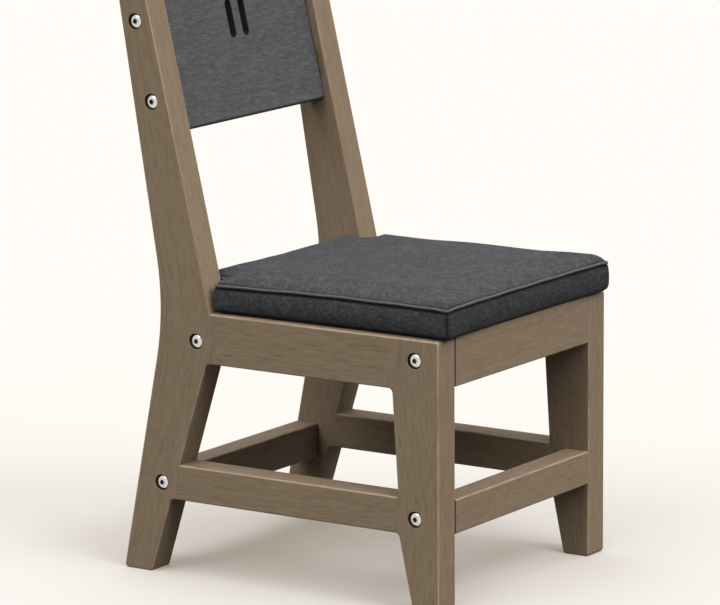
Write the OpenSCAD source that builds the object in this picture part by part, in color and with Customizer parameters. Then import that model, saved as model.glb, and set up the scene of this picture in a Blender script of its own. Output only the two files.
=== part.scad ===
/* [Chair] */
// Width over the outer faces of the two side frames
chair_w = 492; // [450:1:540]
// Height of the back posts' tops above the floor
chair_h = 940; // [900:1:980]
// Depth at the floor, from the front of the front feet to the back of the rear feet
chair_d = 590; // [560:1:620]
// Height of the seat rails' top edges above the floor
seat_h = 425; // [410:1:445]
// Thickness of the side frames' boards
board_t = 48; // [44:1:52]
// Thickness of the cross boards between the side frames
cross_t = 42; // [38:1:46]

/* [Front legs] */
// Width of a front leg, front to back, under the seat rail
front_leg_top_w = 84; // [78:1:90]
// Width of a front leg at the side stretcher
front_leg_waist_w = 73; // [66:1:78]
// Width of a front leg at the floor
front_leg_foot_w = 47; // [34:1:54]
// Radius of a front leg's top front corner
front_leg_top_r = 5; // [3:1:12]

/* [Rear legs and back posts] */
// Distance that the rear feet reach behind the posts' back edges at the seat
rear_splay = 83; // [70:1:95]
// Width of a post at the seat, front to back
post_seat_w = 87.5; // [84:0.5:92]
// Width of a post at its top
post_top_w = 51; // [48:1:60]
// Lean of a post's front edge from upright, in degrees
post_lean = 13.2; // [11:0.1:15]
// Radius of a post's top corners
post_top_r = 14; // [6:1:20]
// Radius of the bend in a post's back edge
post_bend_r = 450; // [200:10:600]
// Width of a rear leg at the floor
rear_foot_w = 54; // [44:0.5:60]
// Distance that a rear leg's front edge under the seat rail stands behind the post's
rear_leg_set_back = 8; // [5:1:14]
// Radius of the fillet between a rear leg and the seat rail's underside
rear_fillet_r = 11; // [6:1:16]

/* [Side rails and stretchers] */
// Height of a side seat rail
seat_rail_h = 80; // [72:1:84]
// Height of a side stretcher
side_stretcher_h = 57; // [52:1:64]
// Height of the side stretchers' lower edges above the floor
side_stretcher_z = 121; // [112:1:128]
// Length of the toe that a rear leg sends forward along the seat rail's underside
rear_toe = 22; // [18:1:30]
// Length of the other toes that the legs send along the rails' undersides
leg_toe = 10; // [8:1:14]
// Radius of the fillets at those toes
fillet_r = 8; // [4:0.5:8]
// Radius of the corners under the feet
foot_r = 6; // [3:0.5:8]

/* [Cross boards] */
// Height of the front apron and of the rear seat rail
apron_h = 77; // [68:1:80]
// Height of the front stretcher
front_stretcher_h = 54; // [48:1:58]
// Height of the front stretcher's lower edge above the floor
front_stretcher_z = 119; // [112:1:128]
// Height of the rear stretcher
rear_stretcher_h = 57; // [50:1:60]
// Height of the rear stretcher's lower edge above the floor
rear_stretcher_z = 101; // [96:1:104]

/* [Seat] */
// Number of slats under the cushion
slat_count = 5; // [4:1:7]
// Thickness of a slat
slat_t = 20; // [16:1:22]
// Gap between two slats
slat_gap = 7; // [4:1:14]
// Width of a cleat, which carries the slats' ends
cleat_w = 28; // [24:1:34]
// Height of a cleat
cleat_h = 36; // [32:1:40]

/* [Backrest panel] */
// Height of the panel along the posts
panel_h = 236; // [210:1:260]
// Thickness of the panel
panel_t = 33; // [28:1:36]
// Distance that the panel's front face stands behind the posts' front edges
panel_inset = 13; // [9:1:14]
// Distance of the panel's top edge below the posts' tops, along the posts
panel_drop = 8; // [4:1:20]
// Radius of the panel's corners
panel_r = 9; // [4:1:14]
// Distance of the bolts from the panel's top and bottom edges
panel_bolt_in = 54.5; // [45:0.5:65]
// Length of each of the two slots
slot_l = 62; // [50:1:80]
// Width of a slot
slot_w = 16; // [10:1:20]
// Distance between the slots' centre lines
slot_pitch = 35; // [28:1:50]
// Height of the slots' lower ends above the panel's lower edge
slot_rise = 126; // [110:1:140]

/* [Cushion] */
// Height of the boxed side, from the rails to the top seam
cushion_h = 48; // [40:1:60]
// Rise of the crown above the top seam
cushion_crown = 11; // [6:1:16]
// Distance that the top seam stands in from the side frames' outer faces
cushion_side_in = 7; // [4:1:20]
// Distance that the cushion reaches past the front legs
cushion_overhang = 12; // [4:1:20]
// Gap between a lobe's rear end and the post behind it
cushion_lobe_gap = 8; // [6:1:20]
// Length of the tongue between the posts, behind the lobes
cushion_tongue = 46; // [30:1:60]
// Gap between the tongue and each post
cushion_tongue_gap = 6; // [5:1:12]
// Distance that the sides swell past the seams
cushion_swell = 4; // [1:0.5:5]
// Distance that the seams are drawn in between the corners
cushion_draw = 3; // [1:0.5:6]

/* [Joints and fasteners] */
// Thickness of the tenons
tenon_t = 16; // [14:1:18]
// Distance of a tenon's edges in from the rail's edges
tenon_shoulder = 10; // [8:1:12]
// Shank diameter of the bolts
bolt_d = 8; // [6:1:9]
// Head diameter of the bolts
bolt_head_d = 20.5; // [16:0.5:22]
// Height of a bolt's domed head
bolt_head_h = 4.5; // [4:0.5:6]
// Diameter of the counterbores round the bolt heads
bore_d = 25; // [23:1:28]
// Depth of the counterbores
bore_depth = 5; // [4.5:0.5:8]
// Shank diameter of the wood screws
screw_d = 5; // [4:0.5:5.5]

/* [Hidden] */
$fn = 64;

// Overrun of every cut past the face that it opens
over = 1;
// Clearance round a tenon in its mortise
tenon_clear = 0.2;
// Clearance round a shank in a plain hole
hole_clear = 0.25;
// Clearance between two threads
thread_clear = 0.05;
// Segments in each rounded corner of an outline
arc_steps = 8;

// Distance of the front bolts behind the front cross boards
front_bolt_gap = 1;
// Drop of the bolts below the seat rail's top edge, at the front and rear legs
rail_front_bolt_drop = 33;
rail_rear_bolt_drop = 46;
// Distance of the rear rail bolt behind the post's front edge at the seat
rail_rear_bolt_in = 27;
// Rise of the stretcher bolts above the side stretcher's lower edge
stretcher_bolt_rise = 25;
// Distance of the rear stretcher bolt behind the leg's front edge
stretcher_rear_bolt_in = 25;
// Length of a tenon past its bolt's axis
tenon_past_bolt = 15;
// Length of the frame bolts and the panel bolts under the head
frame_bolt_l = 30;
panel_bolt_l = 75;
// Straight rim of a domed head
bolt_rim = 2;
// Hexagon socket, width over its corners and depth
socket_d = 6.9;
socket_depth = 3;
// Distance that a bolt's hole runs past its end
bolt_hole_past = 1;
// Insert in a tenon
insert_d = 12;
insert_l = 13;
// Barrel nut in the panel
barrel_d = 12;
barrel_l = 20;
barrel_in = 25;

// Pocket screws, through the cross boards' ends into the legs
pocket_tilt = 15;
pocket_grip = 40;
pocket_screw_l = 60;
pocket_d = 11;
pan_head_d = 10;
pan_head_h = 3.5;
// Heights of the pocket screws as shares of the cross board's height
pocket_shares = [0.25, 0.75];
rear_pocket_shares = [0.2, 0.45];
// Distance of the rear seat rail in front of the posts' back edges at the seat
rear_rail_in = 2;

// Screws through the slats and the cleats
slat_screw_l = 40;
slat_screw_pitch = 40;
cleat_screw_l = 44;
cleat_screw_rise = 8;
cleat_screw_count = 4;
cleat_screw_end = 30;
flat_head_d = 9;
flat_head_h = 2.8;
// Gap at the ends of the slats and the cleats
seat_gap = 1;

// Cushion: gap above the rails, edge rounding, corner radii and the core's wadding
cushion_lift = 0.3;
cushion_edge_r = 7;
cushion_corner_r = 6;
cushion_lobe_r = 9;
cushion_wadding = 10;
cushion_step = 62;
cushion_arc_steps = 3;
// Shares of the way from the seam to the middle at which the crown's rings stand
crown_shares = [0.02, 0.06, 0.13, 0.24, 0.4, 0.62, 0.82];
// Steepness of the crown at the seam
crown_power = 3;

wood = "#776a58";
charcoal = "#55585a";
fabric = "#3f4245";
steel = "#c9cacb";
brass = "#b59a5a";
foam = "#d9cfa6";

inner_w = chair_w - 2 * board_t;
post_back_y = chair_d - rear_splay;
post_y = post_back_y - post_seat_w;
rail_z = seat_h - seat_rail_h;
stretcher_top = side_stretcher_z + side_stretcher_h;
leg_y = post_y + rear_leg_set_back;
foot_y = chair_d - rear_foot_w;
post_top_y = post_y + (chair_h - seat_h) * tan(post_lean);
front_bolt_y = cross_t + front_bolt_gap;
rail_rear_bolt_y = post_y + rail_rear_bolt_in;
stretcher_bolt_z = side_stretcher_z + stretcher_bolt_rise;
stretcher_rear_bolt_y = leg_front_y(stretcher_bolt_z) + stretcher_rear_bolt_in;
rear_stretcher_y = leg_back_y(rear_stretcher_z + rear_stretcher_h) - cross_t;
rear_rail_y = post_back_y - rear_rail_in - cross_t;
panel_top = (chair_h - seat_h) / cos(post_lean) - panel_drop;
panel_z = panel_top - panel_h;
panel_bolt_y = panel_inset + panel_t / 2;
panel_bolt_zs = [panel_z + panel_bolt_in, panel_top - panel_bolt_in];
slat_run = rear_rail_y - cross_t;
slat_w = (slat_run - (slat_count + 1) * slat_gap) / slat_count;

// The four bolts of a side frame, as places in the side view
rail_bolts = [
    [front_bolt_y, seat_h - rail_front_bolt_drop],
    [rail_rear_bolt_y, seat_h - rail_rear_bolt_drop]
];
stretcher_bolts = [
    [front_bolt_y, stretcher_bolt_z],
    [stretcher_rear_bolt_y, stretcher_bolt_z]
];

// The cushion's box: middle, half width and half depth of the top seam's outline
cushion_front = -cushion_overhang;
cushion_lobe_y = post_y + cushion_h / 2 * tan(post_lean) - cushion_lobe_gap;
cushion_back = cushion_lobe_y + cushion_tongue;
cushion_mid = [0, (cushion_front + cushion_back) / 2];
cushion_half_w = chair_w / 2 - cushion_side_in;
cushion_half_d = (cushion_back - cushion_front) / 2;
tongue_half_w = inner_w / 2 - cushion_tongue_gap;

// Reach of a rounded corner past its tangent lines' crossing, taken along the depth
foot_angle = atan2(seat_h, chair_d - post_back_y);
foot_reach = chair_d - foot_r / tan(foot_angle / 2) + foot_r;
top_angle = atan2(chair_h - seat_h, post_top_y + post_top_w - post_back_y);
top_reach = post_top_y + post_top_w - post_top_r / tan(top_angle / 2) + post_top_r;
corner_share = 1 - cushion_corner_r / cushion_half_w;
front_half_d = cushion_half_d - cushion_draw * (1 - corner_share * corner_share);
front_reach = cushion_mid[1] - front_half_d * (1 + cushion_swell / cushion_half_d);
mid_y = (max(foot_reach, top_reach) + front_reach) / 2;

// Front and back edges of a rear leg below the seat
function leg_front_y(z) = leg_y + (foot_y - leg_y) * (rail_z - z) / rail_z;
function leg_back_y(z) = post_back_y + (chair_d - post_back_y) * (seat_h - z) / seat_h;

function unit(v) = v / norm(v);

// Points of the arc that rounds the corner b between the lines to a and c
function corner_arc(a, b, c, r, steps) = r == 0 ? [b] :
    let (u = unit(a - b), v = unit(c - b))
    let (half = acos(u * v) / 2)
    let (o = b + unit(u + v) * r / sin(half))
    let (p = b + u * r / tan(half) - o, q = b + v * r / tan(half) - o)
    let (start = atan2(p[1], p[0]), turn = atan2(q[1], q[0]) - start)
    let (sweep = turn > 180 ? turn - 360 : turn < -180 ? turn + 360 : turn)
    [for (i = [0:steps]) o + r * [cos(start + sweep * i / steps), sin(start + sweep * i / steps)]];

// An outline of [point, radius] corners with each corner rounded
function rounded(corners, steps) =
    let (n = len(corners))
    [for (i = [0:n - 1])
        each corner_arc(corners[(i + n - 1) % n][0], corners[i][0], corners[(i + 1) % n][0],
            corners[i][1], steps)];

front_leg_outline = rounded([
    [[0, 0], foot_r],
    [[front_leg_foot_w, 0], foot_r],
    [[front_leg_waist_w, side_stretcher_z], fillet_r],
    [[front_leg_waist_w + leg_toe, side_stretcher_z], 0],
    [[front_leg_waist_w, stretcher_top], 0],
    [[front_leg_top_w, rail_z], fillet_r],
    [[front_leg_top_w + leg_toe, rail_z], 0],
    [[front_leg_top_w, seat_h], 0],
    [[0, seat_h], front_leg_top_r]
], arc_steps);

rear_leg_outline = rounded([
    [[foot_y, 0], foot_r],
    [[chair_d, 0], foot_r],
    [[post_back_y, seat_h], post_bend_r],
    [[post_top_y + post_top_w, chair_h], post_top_r],
    [[post_top_y, chair_h], post_top_r],
    [[post_y, seat_h], 0],
    [[leg_y - rear_toe, rail_z], 0],
    [[leg_y, rail_z], rear_fillet_r],
    [[leg_front_y(stretcher_top), stretcher_top], 0],
    [[leg_front_y(side_stretcher_z) - leg_toe, side_stretcher_z], 0],
    [[leg_front_y(side_stretcher_z), side_stretcher_z], fillet_r]
], arc_steps);

seat_rail_outline = [
    [front_leg_top_w + leg_toe, rail_z],
    [leg_y - rear_toe, rail_z],
    [post_y, seat_h],
    [front_leg_top_w, seat_h]
];

side_stretcher_outline = [
    [front_leg_waist_w + leg_toe, side_stretcher_z],
    [leg_front_y(side_stretcher_z) - leg_toe, side_stretcher_z],
    [leg_front_y(stretcher_top), stretcher_top],
    [front_leg_waist_w, stretcher_top]
];

// Moves a piece from the front plane's depth zero to the object's middle
module place() {
    translate([0, -mid_y, 0]) children();
}

// Draws the left side's piece on the left or, mirrored, on the right
module on_side(side) {
    if (side > 0) mirror([1, 0, 0]) children();
    else children();
}

module both_sides() {
    on_side(-1) children();
    on_side(1) children();
}

// A board of the left side frame, from its outline in the side view
module side_board(outline) {
    translate([-chair_w / 2, 0, 0])
        rotate([90, 0, 90])
            linear_extrude(board_t) polygon(outline);
}

// A cylinder along X whose near end stands at a depth below the left outer face
module side_cylinder(place_yz, depth, d, l) {
    translate([-chair_w / 2 + depth, place_yz[0], place_yz[1]])
        rotate([0, 90, 0]) cylinder(d = d, h = l);
}

// The bar that gives a left rail both its tenons, or both mortises when grown
module tenon_bar(bolts, z0, z1, grow) {
    translate([
        -chair_w / 2 + (board_t - tenon_t) / 2 - grow,
        bolts[0][0] - tenon_past_bolt - grow,
        z0 + tenon_shoulder - grow
    ]) cube([
        tenon_t + 2 * grow,
        bolts[1][0] - bolts[0][0] + 2 * tenon_past_bolt + 2 * grow,
        z1 - z0 - 2 * tenon_shoulder + 2 * grow
    ]);
}

module rail_tenons(grow) {
    tenon_bar(rail_bolts, rail_z, seat_h, grow);
}

module stretcher_tenons(grow) {
    tenon_bar(stretcher_bolts, side_stretcher_z, stretcher_top, grow);
}

// Counterbore and shank hole of one bolt in a left leg
module bolt_hole(place_yz, l) {
    side_cylinder(place_yz, -over, bore_d, bore_depth + over);
    side_cylinder(place_yz, -over, bolt_d + 2 * hole_clear, over + l);
}

// Insert seat and shank hole of one bolt in a left tenon
module insert_hole(place_yz) {
    side_cylinder(place_yz, (board_t - tenon_t) / 2 - over,
        insert_d + 2 * thread_clear, insert_l + over);
    side_cylinder(place_yz, (board_t - tenon_t) / 2, bolt_d + 2 * hole_clear, tenon_t + over);
}

// A bolt with a domed head and a hexagon socket, its seat at the origin, its shank along +X
module bolt(l) {
    dome_h = bolt_head_h - bolt_rim;
    dome_r = (bolt_head_d * bolt_head_d / 4 + dome_h * dome_h) / (2 * dome_h);
    rotate([0, 90, 0]) {
        cylinder(d = bolt_d, h = l);
        difference() {
            intersection() {
                translate([0, 0, -bolt_head_h]) cylinder(d = bolt_head_d, h = bolt_head_h);
                translate([0, 0, dome_r - bolt_head_h]) sphere(r = dome_r);
            }
            translate([0, 0, -bolt_head_h - over])
                cylinder(d = socket_d, h = socket_depth + over, $fn = 6);
        }
    }
}

// Frame of one pocket screw at a cross board's left end: its axis runs along +X from the joint
module pocket_frame(y0, z0, h, share, turn) {
    translate([-inner_w / 2, y0 + cross_t / 2, z0 + h * share])
        rotate([0, 0, turn * pocket_tilt]) children();
}

module pocket_screw() {
    translate([pocket_grip - pocket_screw_l, 0, 0])
        rotate([0, 90, 0]) cylinder(d = screw_d, h = pocket_screw_l);
    translate([pocket_grip, 0, 0])
        rotate([0, 90, 0]) cylinder(d = pan_head_d, h = pan_head_h);
}

// Shank hole of a pocket screw, through the joint, and the pocket that its head sits in
module pocket_hole() {
    translate([pocket_grip - pocket_screw_l - over, 0, 0])
        rotate([0, 90, 0]) cylinder(d = screw_d + 2 * hole_clear, h = pocket_screw_l + 2 * over);
    translate([pocket_grip, 0, 0])
        rotate([0, 90, 0]) cylinder(d = pocket_d, h = cross_t / sin(pocket_tilt) - pocket_grip);
}

// Every pocket screw of one kind of cross board, at its left end
module apron_pockets() {
    for (share = pocket_shares)
        pocket_frame(0, seat_h - apron_h, apron_h, share, 1) children();
}

module front_stretcher_pockets() {
    for (share = pocket_shares)
        pocket_frame(0, front_stretcher_z, front_stretcher_h, share, 1) children();
}

module rear_rail_pockets() {
    for (share = pocket_shares)
        pocket_frame(rear_rail_y, seat_h - apron_h, apron_h, share, -1) children();
}

module rear_stretcher_pockets() {
    for (share = rear_pocket_shares)
        pocket_frame(rear_stretcher_y, rear_stretcher_z, rear_stretcher_h, share, 1) children();
}

module cross_board(y0, z0, h) {
    translate([-inner_w / 2, y0, z0]) cube([inner_w, cross_t, h]);
}

// Frame that leans with the posts, its origin at a post's front edge at the seat
module back_frame() {
    translate([0, post_y, seat_h]) rotate([-post_lean, 0, 0]) children();
}

module front_leg(side) {
    color(wood) place() on_side(side) difference() {
        side_board(front_leg_outline);
        rail_tenons(tenon_clear);
        stretcher_tenons(tenon_clear);
        for (bolts = [rail_bolts, stretcher_bolts])
            bolt_hole(bolts[0], bore_depth + frame_bolt_l + bolt_hole_past);
        apron_pockets() pocket_hole();
        front_stretcher_pockets() pocket_hole();
    }
}

module rear_leg(side) {
    color(wood) place() on_side(side) difference() {
        side_board(rear_leg_outline);
        rail_tenons(tenon_clear);
        stretcher_tenons(tenon_clear);
        for (bolts = [rail_bolts, stretcher_bolts])
            bolt_hole(bolts[1], bore_depth + frame_bolt_l + bolt_hole_past);
        back_frame() for (z = panel_bolt_zs)
            bolt_hole([panel_bolt_y, z], board_t + over);
        rear_rail_pockets() pocket_hole();
        rear_stretcher_pockets() pocket_hole();
    }
}

module seat_rail(side) {
    color(wood) place() on_side(side) difference() {
        union() {
            side_board(seat_rail_outline);
            rail_tenons(0);
        }
        for (b = rail_bolts) insert_hole(b);
        cleat_screw_places() cleat_screw_hole();
    }
}

module side_stretcher(side) {
    color(wood) place() on_side(side) difference() {
        union() {
            side_board(side_stretcher_outline);
            stretcher_tenons(0);
        }
        for (b = stretcher_bolts) insert_hole(b);
    }
}

module front_apron() {
    color(wood) place() difference() {
        cross_board(0, seat_h - apron_h, apron_h);
        both_sides() apron_pockets() pocket_hole();
    }
}

module front_stretcher() {
    color(wood) place() difference() {
        cross_board(0, front_stretcher_z, front_stretcher_h);
        both_sides() front_stretcher_pockets() pocket_hole();
    }
}

module rear_seat_rail() {
    color(wood) place() difference() {
        cross_board(rear_rail_y, seat_h - apron_h, apron_h);
        both_sides() rear_rail_pockets() pocket_hole();
    }
}

module rear_stretcher() {
    color(wood) place() difference() {
        cross_board(rear_stretcher_y, rear_stretcher_z, rear_stretcher_h);
        both_sides() rear_stretcher_pockets() pocket_hole();
    }
}

// One slot with round ends, its lower end at the origin
module slot() {
    translate([-slot_w / 2, slot_w / 2]) square([slot_w, slot_l - slot_w]);
    for (y = [slot_w / 2, slot_l - slot_w / 2]) translate([0, y]) circle(d = slot_w);
}

module panel_face() {
    outline = [
        [[-inner_w / 2, panel_z], panel_r],
        [[inner_w / 2, panel_z], panel_r],
        [[inner_w / 2, panel_top], panel_r],
        [[-inner_w / 2, panel_top], panel_r]
    ];
    difference() {
        polygon(rounded(outline, arc_steps));
        for (side = [-1, 1])
            translate([side * slot_pitch / 2, panel_z + slot_rise]) slot();
    }
}

// Places of the barrel nuts on the panel's left side, their axes along the panel's thickness
module barrel_places() {
    for (z = panel_bolt_zs)
        translate([-inner_w / 2 + barrel_in, panel_bolt_y, z]) children();
}

module backrest_panel() {
    color(charcoal) place() back_frame() difference() {
        translate([0, panel_inset + panel_t, 0])
            rotate([90, 0, 0]) linear_extrude(panel_t) panel_face();
        both_sides() {
            barrel_places() rotate([-90, 0, 0]) translate([0, 0, -barrel_l / 2])
                cylinder(d = barrel_d + 2 * hole_clear, h = barrel_l / 2 + panel_t);
            for (z = panel_bolt_zs)
                side_cylinder([panel_bolt_y, z], 0, bolt_d + 2 * hole_clear,
                    bore_depth + panel_bolt_l + bolt_hole_past);
        }
    }
}

// Places of the screws in a slat's left end
module slat_screw_places(i) {
    for (k = [-1, 1])
        translate([-inner_w / 2 + cleat_w / 2, slat_mid(i) + k * slat_screw_pitch / 2, seat_h])
            children();
}

// Depth of the middle of slat number i
function slat_mid(i) = cross_t + slat_gap + (i - 1) * (slat_w + slat_gap) + slat_w / 2;

// A countersunk screw that points down from the origin
module flat_screw(l, grow) {
    translate([0, 0, -l - grow]) cylinder(d = screw_d + 2 * grow, h = l + grow);
    translate([0, 0, -flat_head_h])
        cylinder(d1 = screw_d + 2 * grow, d2 = flat_head_d + 2 * grow, h = flat_head_h);
}

module seat_slat(i) {
    l = inner_w - 2 * seat_gap;
    color(wood) place() difference() {
        translate([-l / 2, slat_mid(i) - slat_w / 2, seat_h - slat_t]) cube([l, slat_w, slat_t]);
        both_sides() slat_screw_places(i) {
            flat_screw(slat_screw_l, hole_clear);
            cylinder(d = flat_head_d + 2 * hole_clear, h = over);
        }
    }
}

// Places of the screws in the left cleat, which point at the side rail
module cleat_screw_places() {
    first = front_leg_top_w + cleat_screw_end;
    pitch = (leg_y - rear_toe - cleat_screw_end - first) / (cleat_screw_count - 1);
    for (i = [0:cleat_screw_count - 1])
        translate([
            -inner_w / 2 + cleat_w,
            first + i * pitch,
            seat_h - slat_t - cleat_h + cleat_screw_rise
        ]) rotate([0, 90, 0]) children();
}

module cleat_screw_hole() {
    flat_screw(cleat_screw_l, hole_clear);
    cylinder(d = flat_head_d + 2 * hole_clear, h = over);
}

module seat_cleat(side) {
    color(wood) place() on_side(side) difference() {
        translate([-inner_w / 2, cross_t + seat_gap, seat_h - slat_t - cleat_h])
            cube([cleat_w, slat_run - 2 * seat_gap, cleat_h]);
        cleat_screw_places() cleat_screw_hole();
        for (i = [1:slat_count]) slat_screw_places(i) flat_screw(slat_screw_l, hole_clear);
    }
}

module frame_bolts() {
    color(steel) place() both_sides()
        for (b = concat(rail_bolts, stretcher_bolts))
            translate([-chair_w / 2 + bore_depth, b[0], b[1]]) bolt(frame_bolt_l);
}

module threaded_inserts() {
    color(brass) place() both_sides()
        for (b = concat(rail_bolts, stretcher_bolts)) difference() {
            side_cylinder(b, (board_t - tenon_t) / 2, insert_d, insert_l);
            side_cylinder(b, (board_t - tenon_t) / 2 - over, bolt_d + 2 * thread_clear,
                insert_l + 2 * over);
        }
}

module panel_bolts() {
    color(steel) place() back_frame() both_sides()
        for (z = panel_bolt_zs)
            translate([-chair_w / 2 + bore_depth, panel_bolt_y, z]) bolt(panel_bolt_l);
}

module barrel_nuts() {
    color(steel) place() back_frame() both_sides() barrel_places() difference() {
        rotate([90, 0, 0]) cylinder(d = barrel_d, h = barrel_l, center = true);
        rotate([0, 90, 0])
            cylinder(d = bolt_d + 2 * thread_clear, h = barrel_d + 2 * over, center = true);
    }
}

module pocket_screws() {
    color(steel) place() both_sides() {
        apron_pockets() pocket_screw();
        front_stretcher_pockets() pocket_screw();
        rear_rail_pockets() pocket_screw();
        rear_stretcher_pockets() pocket_screw();
    }
}

module slat_screws() {
    color(steel) place() both_sides()
        for (i = [1:slat_count]) slat_screw_places(i) flat_screw(slat_screw_l, 0);
}

module cleat_screws() {
    color(steel) place() both_sides() cleat_screw_places() flat_screw(cleat_screw_l, 0);
}

// The cushion's outline, drawn in by a distance on every side, with its notches at the posts
function cushion_corners(inset) = let (
    w = cushion_half_w - inset, t = tongue_half_w - inset,
    front = cushion_front + inset, lobe = cushion_lobe_y - inset, back = cushion_back - inset)
    [
        [[-w, front], cushion_corner_r],
        [[w, front], cushion_corner_r],
        [[w, lobe], cushion_lobe_r],
        [[t, lobe], cushion_lobe_r],
        [[t, back], cushion_lobe_r],
        [[-t, back], cushion_lobe_r],
        [[-t, lobe], cushion_lobe_r],
        [[-w, lobe], cushion_lobe_r]
    ];

// Adds points to the long stretches of an outline
function with_steps(points, step) = [
    for (i = [0:len(points) - 1])
        let (a = points[i], b = points[(i + 1) % len(points)])
        let (n = max(1, round(norm(b - a) / step)))
        for (j = [0:n - 1]) a + (b - a) * j / n
];

// Draws the sides in between their corners
function drawn_in(p) = let (
    u = p[0] / cushion_half_w,
    v = (p[1] - cushion_mid[1]) / cushion_half_d)
    [
        p[0] * (1 - cushion_draw / cushion_half_w * (1 - v * v)),
        cushion_mid[1] + (p[1] - cushion_mid[1]) * (1 - cushion_draw / cushion_half_d * (1 - u * u))
    ];

cushion_seam = [
    for (p = with_steps(rounded(cushion_corners(0), cushion_arc_steps), cushion_step)) drawn_in(p)
];

// Inset and height of each ring of points, from the underside to the crown
cushion_rings = concat(
    [
        [cushion_edge_r, 0],
        [cushion_edge_r * (1 - sin(45)), cushion_edge_r * (1 - sin(45))],
        [0, cushion_edge_r],
        [-cushion_swell, cushion_h / 2],
        [-cushion_swell * sin(45), cushion_h * 3 / 4],
        [0, cushion_h]
    ],
    [for (s = crown_shares) [
        cushion_half_d * s,
        cushion_h + cushion_crown * (1 - pow(1 - s, crown_power * 4))
    ]]
);

// One ring, drawn towards the cushion's middle by its inset
function cushion_ring(ring) = [
    for (p = cushion_seam)
        let (q = cushion_mid + (p - cushion_mid) * (1 - ring[0] / cushion_half_d))
        [q[0], q[1], seat_h + cushion_lift + ring[1]]
];

module cushion_form() {
    n = len(cushion_seam);
    m = len(cushion_rings);
    bottom = [cushion_mid[0], cushion_mid[1], seat_h + cushion_lift];
    top = [cushion_mid[0], cushion_mid[1], seat_h + cushion_lift + cushion_h + cushion_crown];
    points = concat([for (ring = cushion_rings) each cushion_ring(ring)], [bottom, top]);
    faces = concat(
        [for (i = [0:n - 1]) [n * m, (i + 1) % n, i]],
        [for (k = [0:m - 2], i = [0:n - 1]) each [
            [k * n + i, k * n + (i + 1) % n, (k + 1) * n + (i + 1) % n],
            [k * n + i, (k + 1) * n + (i + 1) % n, (k + 1) * n + i]
        ]],
        [for (i = [0:n - 1]) [n * m + 1, (m - 1) * n + i, (m - 1) * n + (i + 1) % n]]
    );
    polyhedron(points, [for (f = faces) [f[2], f[1], f[0]]]);
}

module cushion_core_form() {
    translate([0, 0, seat_h + cushion_lift + cushion_wadding])
        linear_extrude(cushion_h - cushion_wadding)
            polygon(rounded(cushion_corners(cushion_wadding), cushion_arc_steps));
}

module cushion_cover() {
    color(fabric) place() difference() {
        cushion_form();
        cushion_core_form();
    }
}

module cushion_core() {
    color(foam) place() cushion_core_form();
}

rear_leg(-1);  // left_rear_leg
rear_leg(1);  // right_rear_leg
front_leg(-1);  // left_front_leg
front_leg(1);  // right_front_leg
seat_rail(-1);  // left_seat_rail
seat_rail(1);  // right_seat_rail
side_stretcher(-1);  // left_side_stretcher
side_stretcher(1);  // right_side_stretcher
front_apron();
rear_seat_rail();
front_stretcher();
rear_stretcher();
backrest_panel();
seat_slat(1);  // seat_slat_1
seat_slat(2);  // seat_slat_2
seat_slat(3);  // seat_slat_3
seat_slat(4);  // seat_slat_4
seat_slat(5);  // seat_slat_5
seat_cleat(-1);  // left_seat_cleat
seat_cleat(1);  // right_seat_cleat
frame_bolts();
threaded_inserts();
panel_bolts();
barrel_nuts();
pocket_screws();
slat_screws();
cleat_screws();
cushion_cover();
cushion_core();
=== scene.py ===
import math
from collections import defaultdict

import bmesh
import bpy
import numpy as np
from mathutils import Matrix, Vector
from mathutils.bvhtree import BVHTree
from mathutils.kdtree import KDTree


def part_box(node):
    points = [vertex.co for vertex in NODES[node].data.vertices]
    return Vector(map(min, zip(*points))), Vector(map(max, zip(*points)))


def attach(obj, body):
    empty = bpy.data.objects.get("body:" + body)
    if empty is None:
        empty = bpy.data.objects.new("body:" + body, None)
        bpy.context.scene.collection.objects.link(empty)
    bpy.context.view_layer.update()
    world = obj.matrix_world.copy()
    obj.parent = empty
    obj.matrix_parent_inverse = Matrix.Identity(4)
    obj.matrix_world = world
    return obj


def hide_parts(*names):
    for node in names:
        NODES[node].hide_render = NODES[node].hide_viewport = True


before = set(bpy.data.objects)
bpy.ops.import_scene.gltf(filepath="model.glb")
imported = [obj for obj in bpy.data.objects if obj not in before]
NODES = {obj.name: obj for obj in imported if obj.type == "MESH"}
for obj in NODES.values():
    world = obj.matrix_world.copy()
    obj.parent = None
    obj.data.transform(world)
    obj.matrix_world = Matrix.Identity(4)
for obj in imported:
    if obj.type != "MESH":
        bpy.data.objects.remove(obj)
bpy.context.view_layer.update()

# Camera: place, aim and lens that match the photograph
CAMERA_PLACE = (-6.2273, -4.0960, 1.8711)
CAMERA_YAW = -56.562
CAMERA_PITCH = -11.042
CAMERA_ROLL = -0.313
CAMERA_LENS = 240.96
SENSOR_W = 36.0

# How far edges are rounded, in metres: free edges, flush joints, cross boards' ends, counterbores'
# rims, slats and cleats, the panel's outline and its slots. Each rounding has this many steps
ARRIS_R = 0.003
JOINT_R = 0.0006
END_R = 0.003
RIM_R = 0.0008
SLAT_R = 0.0018
PANEL_R = 0.005
SLOT_R = 0.0018
ARRIS_STEPS = 3
# The cross boards carry painted shade this far in from the legs, and the panel this far below its faces
END_SHADE_REACH = 0.0018
EDGE_SHADE_DEPTH = 0.0005
# Diameter of the counterbores, how far a rim's span may be off theirs, and a slot's least span
COUNTERBORE_D = 0.025
SPAN_SLACK = 0.004
SLOT_SPAN = 0.05
# Bolt heads: rounding of the edges that are sharper than this angle, height, and the socket's radius
HEAD_EDGE_R = 0.0004
HEAD_ANGLE = math.radians(45.0)
HEAD_H = 0.0045
SOCKET_R = 0.0036
# Places along a rounded edge, and how near to them its surface gets a painted highlight
HIGHLIGHT_STEP = 0.002
HIGHLIGHT_REACH = 0.003
# Two pieces closer than this touch, and two points closer than this are one
TOUCH = 0.0004
WELD = 0.00001
# The least length that anything is divided by
TINY = 1e-9
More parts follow.
